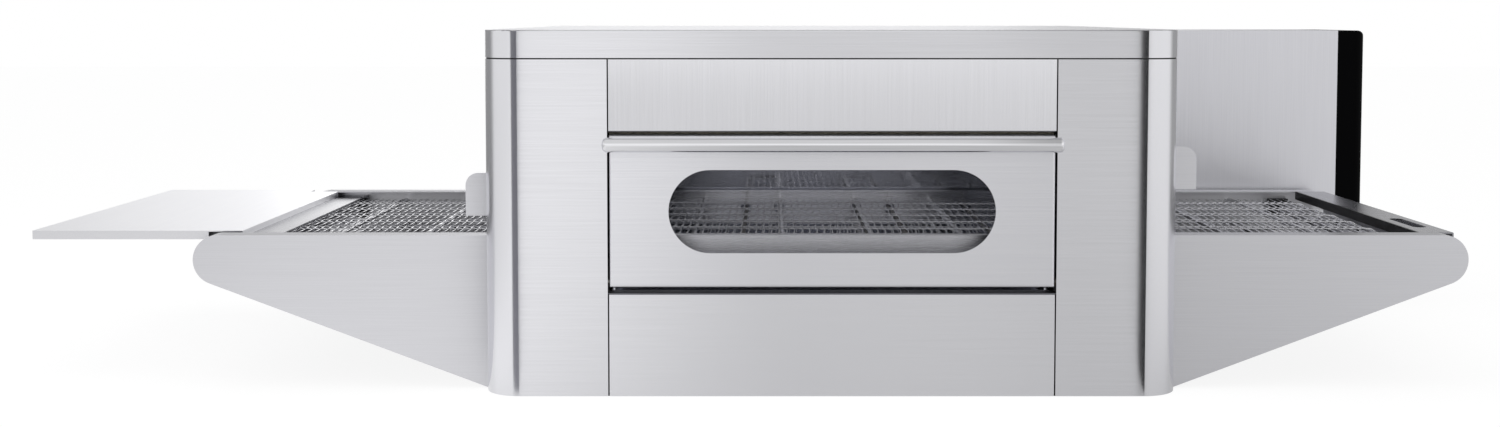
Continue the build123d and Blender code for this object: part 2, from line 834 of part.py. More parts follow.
def shutter(sign, low_z):
    """A shutter on one side of the casing, with its lower edge at low_z."""
    mid_z = low_z + shutter_h / 2
    with BuildPart() as plate:
        block(sorted((sign * shutter_x0, sign * (shutter_x0 + sheet))), (near_y, far_y),
              (low_z, low_z + shutter_h))
        for ear_y in (near_y, far_y - sheet):
            block(sorted((sign * shutter_x0, sign * (side + shutter_out))), (ear_y, ear_y + sheet),
                  (low_z, low_z + shutter_h))
        ear_edges = plate.edges().filter_by(Axis.Y).filter_by(lambda edge: edge.length < 2 * sheet)
        outer = ear_edges.filter_by(lambda edge: abs(edge.center().X) > side + shutter_out / 2)
        fillet(outer.group_by(Axis.Z)[-1], shutter_r)
        for slot_y in stud_ys:
            with Locations(Plane(origin=(sign * side, slot_y, mid_z), x_dir=(0, 0, 1),
                                 z_dir=(1, 0, 0))):
                Box(shutter_travel, slot_w, 2 * overrun, mode=Mode.SUBTRACT)
            for end_z in (mid_z - shutter_travel / 2, mid_z + shutter_travel / 2):
                rod((sign * (side - overrun), slot_y, end_z), (sign, 0, 0), 2 * overrun, slot_w / 2,
                    Mode.SUBTRACT)
    return plate


left_shutter = shutter(-1, shutter_low)
save(left_shutter, "left_shutter")
right_shutter = shutter(1, shutter_low + shutter_travel)
save(right_shutter, "right_shutter")

with BuildPart() as shutter_nuts:
    for sign in (-1, 1):
        for stud_y in stud_ys:
            rod((sign * side, stud_y, stud_z), (sign, 0, 0), sheet + 2 * fit, stud_r)
            rod((sign * (shutter_x0 + sheet + fit), stud_y, stud_z), (sign, 0, 0), nut_h, nut_r)
    outer_faces = shutter_nuts.faces().filter_by(Axis.X)
    fillet([outer_faces.sort_by(Axis.X)[i].edges()[0] for i in (0, 1, -1, -2)], nut_round)
save(shutter_nuts, "shutter_nuts")

# Entry shelf: a shallow inverted tray whose tongue hooks onto the entry cover
shelf_x = (-(side + shelf_out), -(side + shelf_in))
shelf_y = (near_y + shelf_near, far_y - shelf_far)
skirt_x = -(nose_x + shelf_skirt_gap)
shelf_z = (plate_top - shelf_h, plate_top)
with BuildPart() as shelf:
    block((shelf_x[0], skirt_x), shelf_y, shelf_z)
    fillet(shelf.edges().filter_by(Axis.Z).group_by(Axis.X)[0], shelf_corner_r)
    block((shelf_x[0] + shelf_t, skirt_x - shelf_t), (shelf_y[0] + shelf_t, shelf_y[1] - shelf_t),
          (shelf_z[0] - overrun, shelf_z[1] - shelf_t), Mode.SUBTRACT)
    block((skirt_x - overrun, shelf_x[1]), (shelf_y[0], far_y - top_flange - shelf_skirt_gap),
          (plate_top - shelf_t, plate_top))
    block((shelf_x[1] - shelf_t, shelf_x[1]), (shelf_y[0], far_y - top_flange - shelf_skirt_gap),
          (entry_top, plate_top))
save(shelf, "shelf")

# Crumb trays on the ledges inside the side plates
tray_low = rail_half + tray_root_gap + root_flange


def crumb_tray(sign):
    """An open tray whose outer wall ends in a finger pull."""
    low, high = tray_low, tray_low + tray_len
    tray_y = (near_in + tray_side_gap, far_in - tray_side_gap)
    with BuildPart() as tray:
        block(sorted((sign * low, sign * high)), tray_y, (ledge_z, ledge_z + tray_h))
        block(sorted((sign * (low + tray_t), sign * (high - tray_t))),
              (tray_y[0] + tray_t, tray_y[1] - tray_t),
              (ledge_z + tray_t, ledge_z + tray_h + overrun), Mode.SUBTRACT)
        block(sorted((sign * (high - tray_t), sign * (high + tray_pull))), tray_y,
              (ledge_z + tray_h - tray_t, ledge_z + tray_h))
    return tray


left_crumb_tray = crumb_tray(-1)
save(left_crumb_tray, "left_crumb_tray")
right_crumb_tray = crumb_tray(1)
save(right_crumb_tray, "right_crumb_tray")

# Control box: a steel housing, open towards +X, where the bezel closes it
box_x = (side + fit, side + box_len)
box_z = (box_bottom, box_top)
fan_z = box_top - fan_drop
fan_centre = (box_x[1] - fan_inset, fan_z)
gland_z = box_bottom + gland_rise
gland_centre = (box_x[0] + gland_x - fit, gland_z)
with BuildPart() as box_shell:
    block(box_x, box_y, box_z)
    block((box_x[0] + sheet, box_x[1] + overrun), (box_y[0] + sheet, box_y[1] - sheet),
          (box_z[0] + sheet, box_z[1] - sheet), Mode.SUBTRACT)
    rod((shaft_x, box_y[0] - overrun, shaft_z), (0, 1, 0), 2 * overrun, shaft_r + box_hole_gap,
        Mode.SUBTRACT)
    with BuildSketch(Plane.XZ.offset(-back - overrun)):
        with Locations(fan_centre):
            for ring in range(1, vent_rings + 1):
                with PolarLocations(ring * vent_ring_pitch, ring * vents_in_first_ring):
                    Circle(vent_r)
        with Locations(gland_centre):
            Circle(gland_bore_r + hole_gap)
    extrude(amount=2 * overrun, mode=Mode.SUBTRACT)
save(box_shell, "box_shell")

bezel_x = (box_x[1], box_x[1] + bezel_t)
with BuildPart() as control_bezel:
    block(bezel_x, box_y, box_z)
    block((bezel_x[0] - overrun, bezel_x[1] + overrun), (box_y[0] + 2 * sheet, box_y[1] - 2 * sheet),
          (box_z[0] + 2 * sheet, box_z[1] - 2 * sheet), Mode.SUBTRACT)
save(control_bezel, "control_bezel")

# Control face: a moulded black cover with rounded edges, a glass display and two buttons
face_x = (bezel_x[1], bezel_x[1] + face_t)
face_y = (box_y[0] + face_groove, box_y[1] - face_groove)
face_z = (box_z[0] + face_groove, box_z[1])
panel_y = sum(face_y) / 2
glass_z = box_top - glass_drop
button_z = glass_z - button_drop
stop_z = button_z - stop_drop
button_low = face_x[1] - button_cup
with BuildPart() as control_face:
    block(face_x, face_y, face_z)
    fillet(control_face.faces().sort_by(Axis.X)[-1].edges(), face_r)
    block((face_x[1] - glass_t, face_x[1] + overrun),
          (panel_y - glass_y / 2 - fit, panel_y + glass_y / 2 + fit),
          (glass_z - glass_h / 2 - fit, glass_z + glass_h / 2 + fit), Mode.SUBTRACT)
    rod((button_low, panel_y, button_z), (1, 0, 0), face_t, button_r + fit, Mode.SUBTRACT)
    rod((button_low, panel_y, stop_z), (1, 0, 0), face_t, stop_stem_r + fit, Mode.SUBTRACT)
save(control_face, "control_face")

with BuildPart() as display_glass:
    block((face_x[1] - glass_t, face_x[1] + glass_inset),
          (panel_y - glass_y / 2, panel_y + glass_y / 2),
          (glass_z - glass_h / 2, glass_z + glass_h / 2))
    fillet(display_glass.edges().filter_by(Axis.X), glass_t)
save(display_glass, "display_glass")

with BuildPart() as power_button:
    rod((button_low + button_travel + fit, panel_y, button_z), (1, 0, 0),
        button_cup - button_travel - fit + button_out, button_r)
    fillet(power_button.faces().sort_by(Axis.X)[-1].edges(), glass_t)
save(power_button, "power_button")

stop_head = face_x[1] + stop_gap
with BuildPart() as emergency_stop:
    rod((button_low + stop_travel + fit, panel_y, stop_z), (1, 0, 0),
        stop_head - button_low - stop_travel - fit, stop_stem_r)
    rod((stop_head, panel_y, stop_z), (1, 0, 0), stop_h, stop_r)
    fillet(emergency_stop.faces().sort_by(Axis.X)[-1].edges(), stop_edge_r)
save(emergency_stop, "emergency_stop")

# Drive chain between the belt shaft's sprocket and the gear motor's, above it
chain_y = driven_y + (sprocket_t - chain_w) / 2
with BuildPart() as drive_chain:
    with BuildSketch(Plane.XZ.offset(-chain_y)):
        with Locations((shaft_x, (shaft_z + motor_z) / 2)):
            SlotCenterToCenter(motor_z - shaft_z, 2 * (sprocket_r + fit + chain_t), rotation=90)
            SlotCenterToCenter(motor_z - shaft_z, 2 * (sprocket_r + fit), rotation=90,
                               mode=Mode.SUBTRACT)
    extrude(amount=-chain_w)
save(drive_chain, "drive_chain")

# Motor bracket from the box's roof, the gear motor on it and its output shaft
bracket_y = driven_y + sprocket_t + bracket_gap
box_in_top = box_z[1] - sheet
with BuildPart() as motor_bracket:
    block((shaft_x - bracket_w / 2, shaft_x + bracket_w / 2), (bracket_y, bracket_y + bracket_t),
          (motor_z - bracket_drop, box_in_top))
    block((shaft_x - bracket_w / 2, shaft_x + bracket_w / 2), (bracket_y, bracket_y + bracket_foot),
          (box_in_top - bracket_t, box_in_top))
    rod((shaft_x, bracket_y - overrun, motor_z), (0, 1, 0), 2 * overrun + bracket_t,
        output_r + hole_gap, Mode.SUBTRACT)
save(motor_bracket, "motor_bracket")

gearbox_y = (bracket_y + bracket_t, bracket_y + bracket_t + gearbox_l)
with BuildPart() as gear_motor:
    block((shaft_x - gearbox_w / 2, shaft_x + gearbox_w / 2), gearbox_y,
          (motor_z - gearbox_h / 2, motor_z + gearbox_h / 2))
    fillet(gear_motor.edges().filter_by(Axis.Y), gearbox_r)
    rod((shaft_x, gearbox_y[1], motor_z), (0, 1, 0), motor_l, motor_r)
    rod((shaft_x, gearbox_y[0], motor_z), (0, 1, 0), overrun, output_r + running, Mode.SUBTRACT)
save(gear_motor, "gear_motor")

with BuildPart() as motor_sprocket:
    rod((shaft_x, driven_y, motor_z), (0, 1, 0), gearbox_y[0] + overrun - fit - driven_y, output_r)
    add(sprocket(motor_z))
save(motor_sprocket, "motor_sprocket")

# Contactors and the control board, on the box's rear wall
board_y = back - sheet
board_x0 = box_x[0] + board_x
board_z0 = box_z[0] + board_z
with BuildPart() as contactors:
    for i in range(contactor_count):
        start = board_x0 + i * (contactor[0] + contactor_gap)
        block((start, start + contactor[0]), (board_y - contactor[2], board_y),
              (board_z0, board_z0 + contactor[1]))
save(contactors, "contactors")

circuit_z = board_z0 + circuit_rise
circuit_x = board_x0
with BuildPart() as control_board:
    block((circuit_x, circuit_x + circuit[0]),
          (board_y - circuit_stand - circuit[1], board_y - circuit_stand),
          (circuit_z, circuit_z + circuit[2]))
    for leg_x in (circuit_x + contactor_gap, circuit_x + circuit[0] - contactor_gap):
        for leg_z in (circuit_z + contactor_gap, circuit_z + circuit[2] - contactor_gap):
            rod((leg_x, board_y - circuit_stand, leg_z), (0, 1, 0), circuit_stand, fan_pin_r)
save(control_board, "control_board")

# Cooling fan on the box's rear wall: a square frame with arms and a turning rotor
fan_y = (back - sheet - fan_t, back - sheet)
with BuildPart() as fan_housing:
    block((fan_centre[0] - fan_w / 2, fan_centre[0] + fan_w / 2), fan_y,
          (fan_z - fan_w / 2, fan_z + fan_w / 2))
    rod((fan_centre[0], fan_y[0], fan_z), (0, 1, 0), fan_t, fan_bore_r, Mode.SUBTRACT)
    for width, height in ((2 * fan_bore_r + fan_arm, fan_arm), (fan_arm, 2 * fan_bore_r + fan_arm)):
        block((fan_centre[0] - width / 2, fan_centre[0] + width / 2), (fan_y[1] - fan_arm_t, fan_y[1]),
              (fan_z - height / 2, fan_z + height / 2))
    rod((fan_centre[0], fan_y[1] - fan_arm_t, fan_z), (0, -1, 0), fan_t / 2, fan_pin_r)
save(fan_housing, "fan_housing")

rotor_y = (fan_y[0] + fan_tip_gap, fan_y[1] - fan_arm_t - fan_tip_gap)
blade_r = fan_bore_r - fan_tip_gap
blade_len = blade_r - fan_hub_r
with BuildPart() as fan_rotor:
    rod((0, 0, 0), (0, 1, 0), rotor_y[1] - rotor_y[0], fan_hub_r)
    for blade in range(fan_blades):
        with Locations(Rotation(0, blade * 360 / fan_blades, 0)):
            with Locations(((fan_hub_r + blade_r) / 2 - blade_t, (rotor_y[1] - rotor_y[0]) / 2, 0)):
                Box(blade_len, blade_t, fan_hub_r, rotation=(blade_tilt, 0, 0))
    rod((0, 0, 0), (0, 1, 0), fan_t, fan_pin_r + running, Mode.SUBTRACT)
fan_rotor.part = Pos(fan_centre[0], rotor_y[0], fan_z) * fan_rotor.part
save(fan_rotor, "fan_rotor")

# Cable gland: the mains inlet on the box's rear wall
with BuildPart() as cable_gland:
    with BuildSketch(Plane.XZ.offset(-back)):
        with Locations(gland_centre):
            RegularPolygon(gland_r, 6)
    extrude(amount=-gland_nut_h)
    rod((gland_centre[0], back + gland_nut_h, gland_z), (0, 1, 0), gland_l - gland_nut_h,
        gland_bore_r + sheet)
    rod((gland_centre[0], back - sheet, gland_z), (0, 1, 0), sheet, gland_bore_r)
    rod((gland_centre[0], back - overrun, gland_z), (0, 1, 0), gland_l + 2 * overrun,
        gland_bore_r - 2 * sheet, Mode.SUBTRACT)
save(cable_gland, "cable_gland")
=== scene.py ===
"""Conveyor oven in stainless sheet: a casing with a glazed drop door, a wire belt and a control box.

Metres. The origin is the centre of the casing's underside, the belt runs along X and the door
faces -Y.
"""

import math

import bpy
import numpy as np
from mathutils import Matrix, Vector


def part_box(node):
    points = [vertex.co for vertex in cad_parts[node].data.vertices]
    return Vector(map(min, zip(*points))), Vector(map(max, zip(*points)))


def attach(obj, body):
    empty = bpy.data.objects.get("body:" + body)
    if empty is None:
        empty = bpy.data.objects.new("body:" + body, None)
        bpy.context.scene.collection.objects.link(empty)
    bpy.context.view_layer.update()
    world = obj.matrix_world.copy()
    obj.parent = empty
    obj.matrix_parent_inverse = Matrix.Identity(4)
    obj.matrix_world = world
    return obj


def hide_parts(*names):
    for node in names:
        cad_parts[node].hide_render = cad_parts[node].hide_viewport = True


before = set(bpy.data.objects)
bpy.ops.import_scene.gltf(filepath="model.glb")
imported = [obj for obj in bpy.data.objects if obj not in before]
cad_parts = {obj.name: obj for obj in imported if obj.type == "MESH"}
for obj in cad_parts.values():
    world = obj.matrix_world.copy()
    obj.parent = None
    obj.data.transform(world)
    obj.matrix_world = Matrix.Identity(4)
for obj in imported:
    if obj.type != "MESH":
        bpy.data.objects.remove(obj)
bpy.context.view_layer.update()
scene = bpy.context.scene
MM = 0.001

# Camera: level with the casing's top and a little left of its middle. A small downward tilt takes
# part of the view's offset and a lens shift takes the rest, so upright edges stay upright.
EYE = (-0.0906, -2.645, 0.535)
TILT_DEG = 3.08
FRAME_W, FRAME_H = 1500, 427
FOCAL_PX = 1585
AXIS_PX = (767.4, 100.8)
camera = bpy.data.objects.new("camera", bpy.data.cameras.new("camera"))
scene.collection.objects.link(camera)
scene.camera = camera
camera.data.sensor_width = 36
camera.data.lens = 36 * FOCAL_PX / FRAME_W
camera.location = EYE
camera.rotation_euler = (math.radians(90 - TILT_DEG), 0, 0)
camera.data.shift_x = (FRAME_W / 2 - AXIS_PX[0]) / FRAME_W
camera.data.shift_y = -(FRAME_H / 2 - AXIS_PX[1]) / FRAME_W
scene.view_settings.view_transform = "Standard"


def linear(code):
    """A colour from its sRGB hex code, as linear red, green, blue and full opacity."""
    parts = [int(code[i:i + 2], 16) / 255 for i in (0, 2, 4)]
    return [c / 12.92 if c <= 0.04045 else ((c + 0.055) / 1.055) ** 2.4 for c in parts] + [1]


def add_node(tree, kind, inputs=None, **settings):
    """A shader node with its settings; an input is a value or another node's output socket."""
    made = tree.nodes.new(kind)
    for key, value in settings.items():
        setattr(made, key, value)
    for key, value in (inputs or {}).items():
        if isinstance(value, bpy.types.NodeSocket):
            tree.links.new(value, made.inputs[key])
        else:
            made.inputs[key].default_value = value
    return made


def stepped_tone(tree, place, start, steps):
    """A tone that begins at start and changes along X, Y or Z of a place or direction.

    Each step is (axis, where it starts, where it ends, change of tone), with a smooth rise or fall
    between the two ends. The tone is the start plus all the changes passed so far.
    """
    tone = start
    for axis, low, high, change in steps:
        step = add_node(tree, "ShaderNodeMapRange",
                        {"Value": place.outputs[axis], "From Min": low, "From Max": high,
                         "To Min": 0.0, "To Max": change}, interpolation_type="SMOOTHSTEP")
        tone = add_node(tree, "ShaderNodeMath", {0: step.outputs[0], 1: tone}).outputs[0]
    return tone


# Studio: a white surround with soft changes of tone for the metal to reflect. No part of it is
# darker than SKY_LEAST, and the lens and the window see plain white instead.
SKY_START = 1.0
SKY_STEPS = (("X", -0.15, -0.03, -0.06), ("X", 0.12, 0.19, -0.26), ("X", 0.32, 0.46, 0.32),
             ("Y", -0.10, 0.50, -0.80), ("Y", 0.75, 0.96, 0.80), ("Y", 0.945, 0.97, 0.90),
             ("Z", 0.30, 0.60, -0.25))
SKY_LEAST = 0.34
world = bpy.data.worlds.new("studio")
scene.world = world
world.use_nodes = True
sky = world.node_tree
sky.nodes.clear()
path = add_node(sky, "ShaderNodeLightPath")
direction = add_node(sky, "ShaderNodeSeparateXYZ",
                     {0: add_node(sky, "ShaderNodeTexCoord").outputs["Generated"]})
sky_tone = add_node(sky, "ShaderNodeMath", {0: stepped_tone(sky, direction, SKY_START, SKY_STEPS),
                                            1: SKY_LEAST}, operation="MAXIMUM").outputs[0]
seen = add_node(sky, "ShaderNodeMath", {0: path.outputs["Is Camera Ray"],
                                        1: path.outputs["Is Transmission Ray"]}, operation="MAXIMUM")
strength = add_node(sky, "ShaderNodeMix", {0: seen.outputs[0], 2: sky_tone, 3: 1.0})
backing = add_node(sky, "ShaderNodeBackground", {"Color": linear("FFFFFF"),
                                                 "Strength": strength.outputs[0]})
add_node(sky, "ShaderNodeOutputWorld", {"Surface": backing.outputs[0]})


def stage_card(name, corners):
    """A flat four-cornered piece of the studio with an empty material; returns it and its nodes."""
    mesh = bpy.data.meshes.new(name)
    mesh.from_pydata(corners, [], [(0, 1, 2, 3)])
    card = bpy.data.objects.new(name, mesh)
    scene.collection.objects.link(card)
    paint = bpy.data.materials.new(name + "_paint")
    paint.use_nodes = True
    paint.node_tree.nodes.clear()
    mesh.materials.append(paint)
    return card, paint.node_tree


# The floor: to the lens it is white but for the object's own soft shadow, and the metal sees it
# bright in front to the left and dimmer to the right.
FLOOR_HALF = 14.0
FLOOR_GLOW_SHARE = 0.82
FLOOR_GLOW_TO_LENS = 1.08
FLOOR_START = 0.66
FLOOR_STEPS = (("X", -1.60, -0.85, 0.36), ("X", -0.70, -0.02, -0.52), ("X", 0.3, 1.4, 0.28),
               ("Y", -0.30, 0.50, -0.45))
tree = stage_card("floor", [(-FLOOR_HALF, -FLOOR_HALF, 0), (FLOOR_HALF, -FLOOR_HALF, 0),
                            (FLOOR_HALF, FLOOR_HALF, 0), (-FLOOR_HALF, FLOOR_HALF, 0)])[1]
spot = add_node(tree, "ShaderNodeSeparateXYZ",
                {0: add_node(tree, "ShaderNodeTexCoord").outputs["Object"]})
floor_tone = stepped_tone(tree, spot, FLOOR_START, FLOOR_STEPS)
matt = add_node(tree, "ShaderNodeBsdfDiffuse", {"Color": linear("FFFFFF")})
plain_glow = add_node(tree, "ShaderNodeEmission", {"Color": linear("FFFFFF"),
                                                   "Strength": FLOOR_GLOW_TO_LENS})
studio_glow = add_node(tree, "ShaderNodeEmission", {"Color": linear("FFFFFF"),
                                                    "Strength": floor_tone})
to_lens, to_metal = (add_node(tree, "ShaderNodeMixShader", {0: FLOOR_GLOW_SHARE, 1: matt.outputs[0],
                                                            2: glow.outputs[0]})
                     for glow in (plain_glow, studio_glow))
floor_mix = add_node(tree, "ShaderNodeMixShader", {
    0: add_node(tree, "ShaderNodeLightPath").outputs["Is Camera Ray"], 1: to_metal.outputs[0],
    2: to_lens.outputs[0]})
add_node(tree, "ShaderNodeOutputMaterial", {"Surface": floor_mix.outputs[0]})

# Two narrow flags just in front of the object, a grey one at the left and a black one at the right,
# each an upright card with a strip of cloth on the floor, draw the dark lines along its round
# corners. Only reflections see them.
FLAG_CORNER_X = 0.44
FLAG_FRONT_Y = -0.44
FLAG_REACH = 0.13
FLAG_TOP = 1.2
FLAG_FOOT = 0.02
CLOTH_Z = 0.001
for name, corner_x, angles, tone in (("left_flag", -FLAG_CORNER_X, (-31.0, -9.0), "9C9CA2"),
                                     ("right_flag", FLAG_CORNER_X, (9.0, 19.5), "1C1C1E")):
    near, far = ([(corner_x + reach * math.tan(math.radians(a)), FLAG_FRONT_Y - reach)
                  for a in angles] for reach in (FLAG_FOOT, FLAG_REACH))
    for part, corners in (("card", [(*far[0], 0), (*far[1], 0), (*far[1], FLAG_TOP),
                                    (*far[0], FLAG_TOP)]),
                          ("cloth", [(*far[0], CLOTH_Z), (*far[1], CLOTH_Z), (*near[1], CLOTH_Z),
                                     (*near[0], CLOTH_Z)])):
        flag, tree = stage_card(name + "_" + part, corners)
        cloth = add_node(tree, "ShaderNodeBsdfDiffuse", {"Color": linear(tone)})
        add_node(tree, "ShaderNodeOutputMaterial", {"Surface": cloth.outputs[0]})
        flag.visible_camera = flag.visible_diffuse = False
        flag.visible_transmission = flag.visible_shadow = False


def lamp(name, place, target, size, power, in_reflections=False):
    """A square soft lamp at a place, facing a target, that metal may see or not."""
    data = bpy.data.lights.new(name, "AREA")
    data.size = size
    data.energy = power
    made = bpy.data.objects.new(name, data)
    made.location = place
    made.rotation_euler = (Vector(target) - Vector(place)).to_track_quat("-Z", "Y").to_euler()
    made.visible_glossy = in_reflections
    scene.collection.objects.link(made)


# A wide lamp over the object gives the floor its soft shadow
lamp("overhead", (-0.6, -0.4, 3.0), (0, 0, 0.3), 2.4, 16)
# A small lamp under the chamber's roof shows the belt through the window
lamp("in_chamber", (0, -0.09, 0.302), (0, -0.09, 0), 0.5, 0.21, True)


# Casing sheets: cold-rolled 304 stainless, brushed in one direction, cut and folded on a press. The
# real grain is finer than a pixel, so it is drawn about 0.7 mm wide to show at all. Grain blurs a
# reflection across itself only, and ACROSS gives that direction for grain along each axis.
SHEET_GRAIN_MM = 0.7
SHEET_STREAK_MM = 140
SHEET_BUMP_MM = 0.0006
SHEET_GLOSS_SWING = 0.02
NOISE_LOW, NOISE_HIGH = 0.3, 0.7
ACROSS = {"X": (0, 0.05, 1), "Y": (1, 0, 0.05), "Z": (1, 0.05, 0)}


def finish(name, light, dark, metallic, rough, swing, grain_mm, bump_mm=0.02, across=None, **sockets):
    """A material whose tone, gloss and height follow one noise; grain_mm is its size along X, Y, Z.

    across is the direction in which a brushed surface spreads its reflections.
    """
    material = bpy.data.materials.new(name)
    material.use_nodes = True
    tree = material.node_tree
    surface = tree.nodes["Principled BSDF"]
    for key, value in sockets.items():
        surface.inputs[key.replace("_", " ").title().replace("Ior", "IOR")].default_value = value
    place = add_node(tree, "ShaderNodeTexCoord")
    scaled = add_node(tree, "ShaderNodeMapping", {"Vector": place.outputs["Object"],
                                                  "Scale": [1 / (size * MM) for size in grain_mm]})
    noise = add_node(tree, "ShaderNodeTexNoise", {"Vector": scaled.outputs[0], "Scale": 1.0,
                                                  "Detail": 3.0, "Roughness": 0.55})
    tone = add_node(tree, "ShaderNodeMapRange", {"Value": noise.outputs["Fac"],
                                                 "From Min": NOISE_LOW, "From Max": NOISE_HIGH})
    shade = add_node(tree, "ShaderNodeMix", {"Factor": tone.outputs[0], 6: linear(dark),
                                             7: linear(light)}, data_type="RGBA")
    gloss = add_node(tree, "ShaderNodeMapRange", {"Value": noise.outputs["Fac"],
                                                  "From Min": NOISE_LOW, "From Max": NOISE_HIGH,
                                                  "To Min": rough + swing, "To Max": rough - swing})
    relief = add_node(tree, "ShaderNodeBump", {"Height": noise.outputs["Fac"],
                                               "Strength": 1.0, "Distance": bump_mm * MM})
    surface.inputs["Metallic"].default_value = metallic
    tree.links.new(shade.outputs[2], surface.inputs["Base Color"])
    tree.links.new(gloss.outputs[0], surface.inputs["Roughness"])
    tree.links.new(relief.outputs[0], surface.inputs["Normal"])
    if across:
        spread = add_node(tree, "ShaderNodeCombineXYZ", dict(enumerate(across)))
        tree.links.new(spread.outputs[0], surface.inputs["Tangent"])
    return material


def brushed(name, light, dark, grain, rough=0.22, stretch=1.0):
    """Brushed stainless sheet with its grain along one axis."""
    sizes = [SHEET_STREAK_MM if axis == grain else SHEET_GRAIN_MM for axis in "XYZ"]
    return finish(name, light, dark, 1.0, rough, SHEET_GLOSS_SWING, sizes, SHEET_BUMP_MM,
                  ACROSS[grain], anisotropic=stretch)


def dress(material, *nodes):
    """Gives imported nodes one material."""
    for name in nodes:
        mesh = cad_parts[name].data
        mesh.materials.clear()
        mesh.materials.append(material)


dress(brushed("brushed_304_corner_panels", "EFEFF3", "EAEAEE", "X"), "left_side_panel",
      "right_side_panel", "back_panel")
# The upper fascia is a lighter copy of the sheet than the door and panels, to make up for the dimmer
# light it reflects: painted light.
dress(brushed("brushed_304_upper_fascia_painted_light", "F4F4F8", "EDEDF1", "Z"), "upper_fascia")
dress(brushed("brushed_304_lower_fascia", "F2F2F6", "EDEDF1", "X"), "lower_fascia")
dress(brushed("brushed_304_cap", "EEEEF2", "E9E9ED", "X"), "top_cap")
# The frame and base pan are coloured near black so that the seams between the sheets in front of them
# look dark: painted shade.
dress(finish("seam_shade_black_square_tube", "1C1C1E", "121213", 0.0, 0.55, 0.08, (9, 9, 9), 0.05),
      "frame", "base_pan")
dress(finish("bright_zinc_screws", "CFCFCF", "B9B9B6", 1.0, 0.28, 0.05, (2, 2, 2)), "panel_screws")
# The vent strip and the door sill are a dull grey that stands in for the shade in the slots above and
# below the door: painted shade.
dress(finish("painted_shade_grey_vent_strip", "84858A", "6A6B70", 1.0, 0.42, 0.06, (180, 1, 1)),
      "vent_strip", "door_sill")

# Door: a folded stainless pan with a rounded window cut in it, an inner plate, two panes of
# tempered glass and a silicone seal pressed on the inner plate.
dress(brushed("brushed_304_door", "F0F0F4", "EBEBF0", "X"), "door_skin", "door_inner")
dress(finish("silicone_rubber_seal", "2B2B2D", "1E1E20", 0.0, 0.62, 0.08, (6, 6, 6)), "door_seal")
dress(finish("tempered_glass", "4B5058", "454A52", 0.0, 0.04, 0.01, (60, 60, 60), 0.0, alpha=0.03,
             ior=1.5), "window_panes")

# Handle: a polished stainless tube on two turned posts, with pressed domed caps.
dress(finish("polished_304_handle", "F2F2F5", "E9E9EC", 1.0, 0.05, 0.02, (90, 1, 1), 0.0006),
      "handle_tube", "handle_ends", "handle_posts")

# Hinge: turned steel pins in sintered bronze bushes, hidden in the lower corners of the door.
dress(finish("turned_steel_pins", "C4C4C6", "A8A8AB", 1.0, 0.25, 0.05, (1, 1, 1)), "hinge_pins",
      "shutter_nuts")
dress(finish("sintered_bronze", "B08A52", "8F6C3C", 1.0, 0.38, 0.08, (0.8, 0.8, 0.8)), "hinge_bushes",
      "cable_gland")

# Chamber: a mill-finish stainless liner in ceramic wool, with sheathed hairpin elements that
# pass through ceramic bushes, and two folded rails that carry the belt.
dress(finish("chamber_304_mill_finish", "D2D3DB", "C5C6CF", 1.0, 0.08, 0.03, (60, 4, 60), 0.004),
      "chamber_liner")
dress(finish("ceramic_wool", "E8E2D4", "CFC7B4", 0.0, 0.92, 0.05, (3, 3, 3), 0.8), "insulation")
dress(finish("oxidised_element_sheath", "6A625C", "4A4440", 1.0, 0.45, 0.10, (4, 4, 4)),
      "heating_elements")
dress(finish("steatite_bushes", "EDE8DC", "DDD5C4", 0.0, 0.35, 0.08, (2, 2, 2)), "element_bushes")
dress(brushed("brushed_304_rails", "ECECF1", "E2E2E8", "X", 0.26), "chamber_rails")

# Side plates and shutters: 2 mm stainless plate, brushed along the belt, with folded flanges.
plate_steel = brushed("brushed_304_side_plates", "DCDCE0", "D6D6DA", "X", 0.38, 0.5)
dress(plate_steel, "left_near_wing", "left_far_wing", "right_near_wing", "right_far_wing",
      "left_shutter", "right_shutter")


# Belt: a flat-flex belt of round stainless wire. Each strand runs across the belt in short spans and
# steps over to its neighbour's line at every joint, by turns above it and below it.
WIRE_R = 0.9 * MM
STRAND_PITCH = 11.5 * MM
BELT_SPANS = 13
SPAN_SLANT = 1.7 * MM
JOINT_HALF = 3.2 * MM
JOINT_RISE = 1.6 * MM
JOINT_ROUNDING = 1e-9
WIRE_SIDES = 6
STEPS_IN_JOINT = 7
belt_low, belt_high = (Vector(c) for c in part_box("conveyor_belt"))
loop_r = (belt_high.z - belt_low.z) / 2 - WIRE_R
loop_half = (belt_high.x - belt_low.x) / 2 - (belt_high.z - belt_low.z) / 2
loop_z = (belt_high.z + belt_low.z) / 2
loop_length = 4 * loop_half + 2 * math.pi * loop_r
strand_count = 2 * round(loop_length / STRAND_PITCH / 2)
pitch = loop_length / strand_count


def belt_point(along, across, rise):
    """A point of the closed loop: two straight runs joined by half circles round the two shafts.

    along is the distance round the loop from the entry end of the upper run, across is Y, and rise
    is the height above the belt's middle surface. Returns the point and the outward normal.
    """
    run = 2 * loop_half
    bend = math.pi * loop_r
    s = np.mod(along, loop_length)
    turn = np.where(s < run, 0.0, np.where(s < run + bend, (s - run) / loop_r,
                    np.where(s < 2 * run + bend, math.pi, math.pi + (s - 2 * run - bend) / loop_r)))
    centre_x = np.where(s < run, s - loop_half, np.where(s < run + bend, loop_half,
                        np.where(s < 2 * run + bend, loop_half - (s - run - bend), -loop_half)))
    normal = np.stack([np.sin(turn), np.zeros_like(turn), np.cos(turn)], axis=-1)
    point = np.stack([centre_x, np.broadcast_to(across, s.shape), np.full_like(s, loop_z)], axis=-1)
    return point + normal * (loop_r + rise)[..., None], normal


